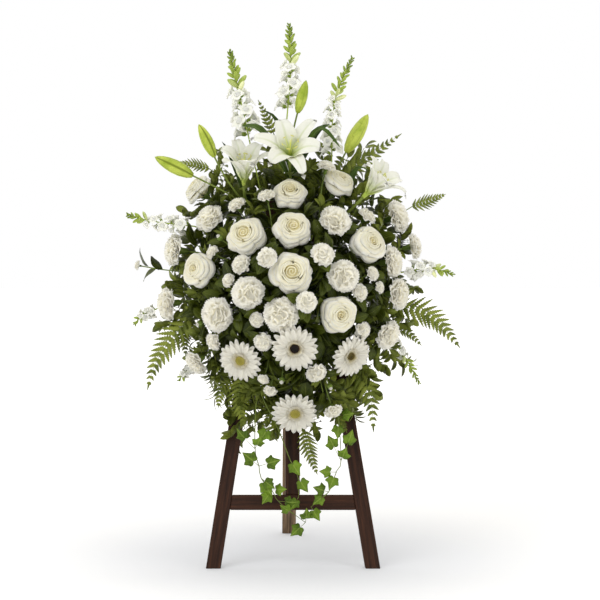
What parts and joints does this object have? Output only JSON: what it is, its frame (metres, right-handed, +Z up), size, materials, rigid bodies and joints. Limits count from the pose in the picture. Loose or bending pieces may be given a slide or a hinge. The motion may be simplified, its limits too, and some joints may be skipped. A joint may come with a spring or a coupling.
{
  "type": "standing funeral spray",
  "caption": "Dome of white roses, lilies, gerberas, carnations and snapdragons with fern and ivy, set in foam on a dark wooden easel with a hinged rear leg.",
  "frame": {"origin": "bottom centre of the overall bounding box, on the floor between the front feet and the rear foot", "axes": "+Z up, the blooms face -Y, +X to the right as seen from the front"},
  "size_m": [0.845, 0.6844, 1.3814],
  "materials": {
    "espresso_wood": "dark espresso stain with a satin sheen",
    "zinc_steel": "dull zinc plating",
    "wet_foam": "dark green water-soaked foam",
    "tray_plastic": "plain dark green",
    "strap_plastic": "plain dark green tape",
    "rose_petal": "soft matt petals, cream at the heart",
    "gerbera_petal": "soft white rays",
    "carnation_petal": "soft white ruffled petals",
    "snapdragon_floret": "white florets and pale green buds",
    "lily_petal": "waxy white petals with a green throat",
    "lily_green": "waxy green stems, buds and narrow leaves",
    "fern_green": "leathery dark green leaflets",
    "ivy_green": "bright green lobed leaves",
    "broad_leaf": "glossy dark green leaves"
  },
  "bodies": {
    "frame": {"easel_leg_left": "espresso_wood", "easel_leg_right": "espresso_wood", "easel_crossbar_lower": "espresso_wood", "easel_crossbar_upper": "espresso_wood", "easel_center_post": "espresso_wood", "hinge_leaf_fixed": "zinc_steel", "hinge_pin": "zinc_steel", "foam_block": "wet_foam", "foam_tray": "tray_plastic", "strap_lower": "strap_plastic", "strap_upper": "strap_plastic", "rose_top": "rose_petal", "rose_upper_right": "rose_petal", "rose_upper_left": "rose_petal", "rose_left_center": "rose_petal", "rose_center": "rose_petal", "rose_lower_center": "rose_petal", "rose_right": "rose_petal", "rose_left": "rose_petal", "rose_lower_right": "rose_petal", "gerbera_middle": "gerbera_petal", "gerbera_left": "gerbera_petal", "gerbera_right": "gerbera_petal", "gerbera_bottom": "gerbera_petal", "carnations_upper_left": "carnation_petal", "carnations_inner_right": "carnation_petal", "carnations_right": "carnation_petal", "carnations_lower_right": "carnation_petal", "carnations_left": "carnation_petal", "spray_upper_left": "carnation_petal", "spray_left": "carnation_petal", "spray_upper_right": "carnation_petal", "spray_right": "carnation_petal", "spray_lower_left": "carnation_petal", "spray_lower_right": "carnation_petal", "snapdragon_top": "snapdragon_floret", "snapdragon_top_left": "snapdragon_floret", "snapdragon_top_right": "snapdragon_floret", "snapdragon_left": "snapdragon_floret", "snapdragon_right": "snapdragon_floret", "snapdragons_lower_left": "snapdragon_floret", "snapdragon_lower_right": "snapdragon_floret", "lily_center": "lily_petal", "lily_left": "lily_petal", "lily_right": "lily_petal", "lily_center_stem": "lily_green", "lily_left_stem": "lily_green", "lily_right_stem": "lily_green", "fern_left": "fern_green", "fern_right": "fern_green", "fern_low": "fern_green", "fern_low_left": "fern_green", "fern_upper": "fern_green", "ivy_left": "ivy_green", "ivy_right": "ivy_green", "greens_left": "broad_leaf", "greens_right": "broad_leaf", "greens_low": "broad_leaf"},
    "rear_leg": {"easel_leg_rear": "espresso_wood", "hinge_leaf_moving": "zinc_steel"}
  },
  "joints": [
    {"name": "rear_leg_hinge", "type": "hinge", "parent": "frame", "child": "rear_leg", "pos_m": [-0.004, 0.04139, 0.9116], "axis": [1, 0, 0], "range_deg": [-28, 0]}
  ]
}
